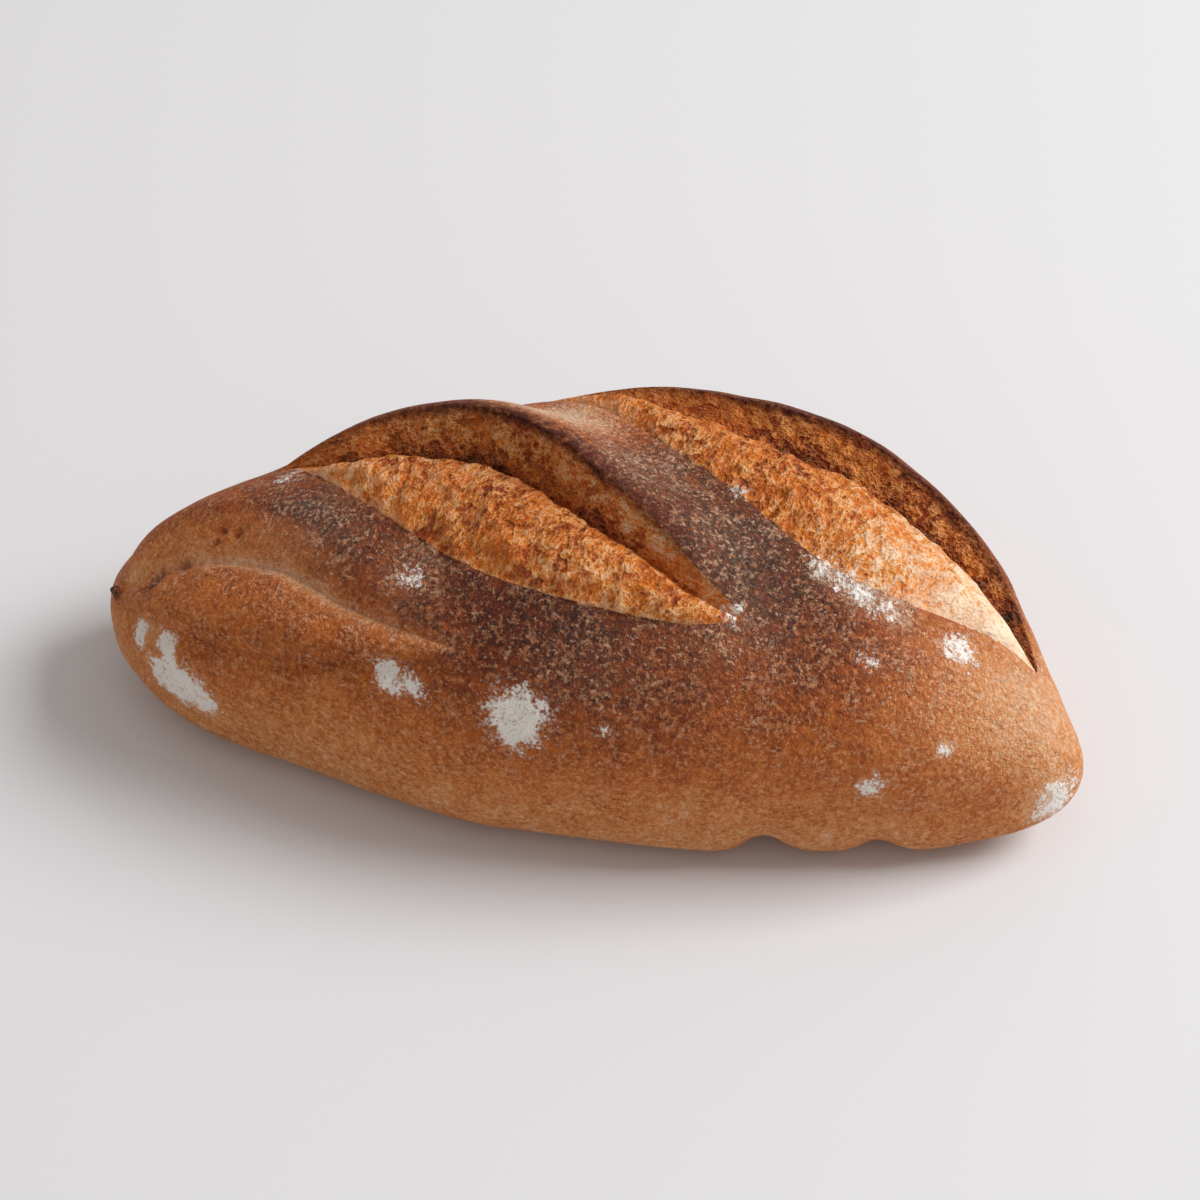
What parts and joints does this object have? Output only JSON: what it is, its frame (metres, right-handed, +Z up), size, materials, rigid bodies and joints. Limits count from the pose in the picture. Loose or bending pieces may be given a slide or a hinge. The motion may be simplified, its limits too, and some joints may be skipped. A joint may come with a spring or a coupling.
{
  "type": "sourdough loaf",
  "caption": "Long oval sourdough loaf, flat underneath, its top opened by slanting scores whose crust lifts into ears over torn crumb.",
  "frame": {"origin": "on the surface the loaf rests on, under the middle of its bounding box", "axes": "+X along the loaf towards its narrower end, +Y towards its back, +Z up"},
  "size_m": [0.2881, 0.1402, 0.0991],
  "materials": {
    "crust": "matte baked crust, dark on top, golden low down and in the scores, dusted with flour"
  },
  "bodies": {
    "root": {"loaf": "crust"}
  },
  "joints": []
}
